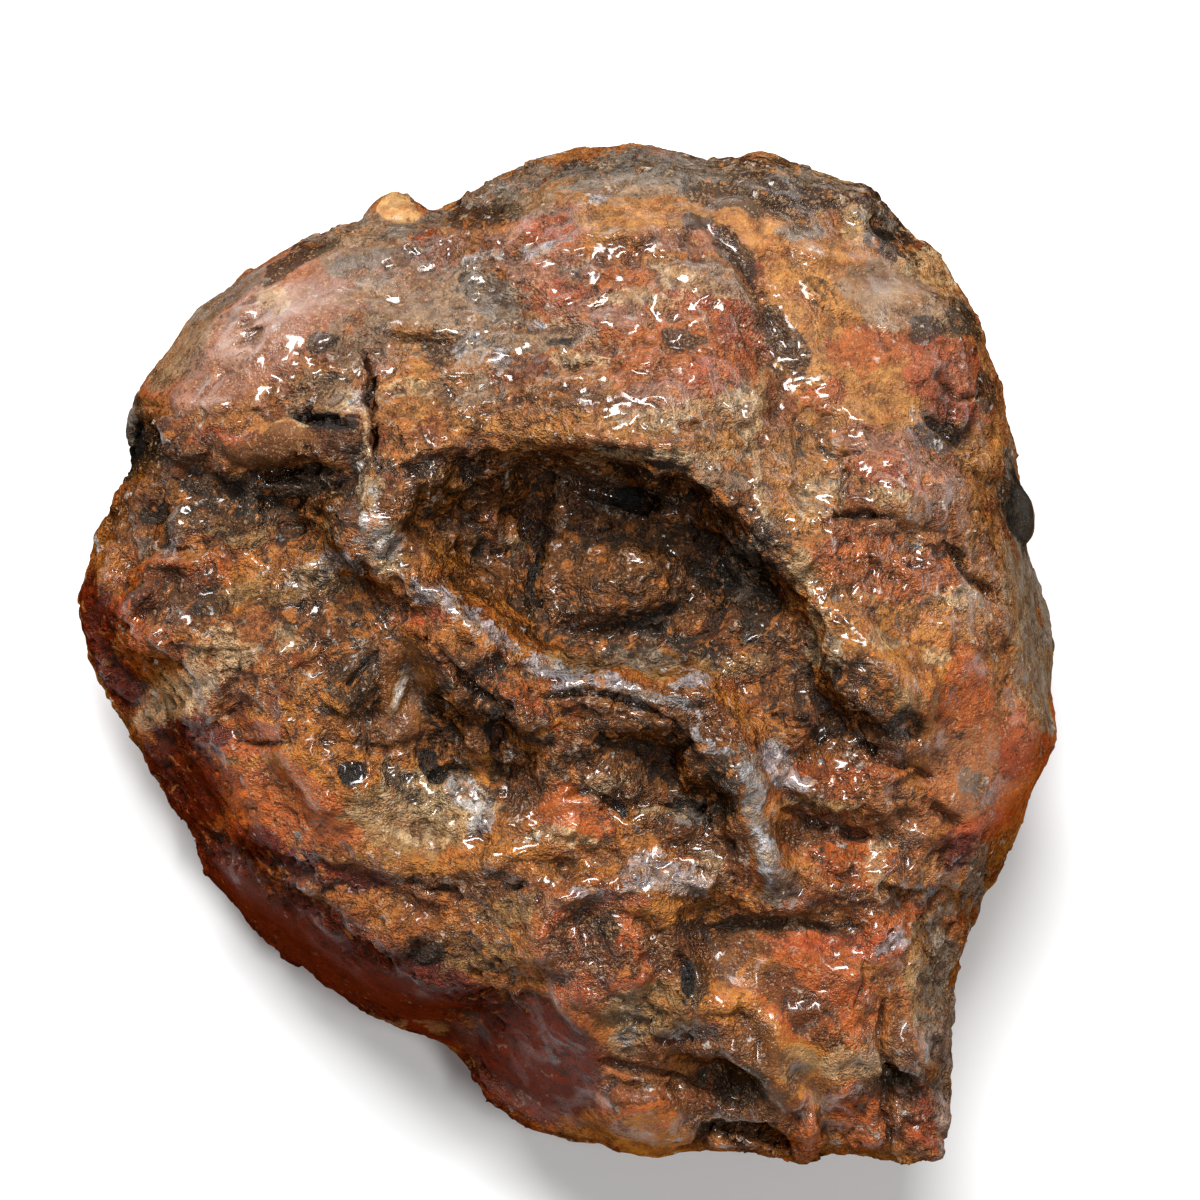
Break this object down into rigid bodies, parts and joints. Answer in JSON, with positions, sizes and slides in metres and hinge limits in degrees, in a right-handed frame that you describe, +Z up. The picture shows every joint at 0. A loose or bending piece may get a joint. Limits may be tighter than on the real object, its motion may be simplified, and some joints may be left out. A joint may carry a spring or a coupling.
{
  "type": "coprolite",
  "caption": "Palm-sized lump of fossil dung turned to iron-stained jasper, lying on its back on a small flat spot, with a deep bowl, ridges and ledges on its upper face.",
  "frame": {"origin": "centre of the bounding box at the flat spot the stone rests on", "axes": "+Z up, out of the hollowed upper face; +Y towards the smooth block above the bowl's lip; +X towards the side with the small black nub"},
  "size_m": [0.124, 0.128, 0.06],
  "materials": {
    "iron_stained_jasper": "glossy, as if wet"
  },
  "bodies": {
    "root": {"coprolite": "iron_stained_jasper"}
  },
  "joints": []
}
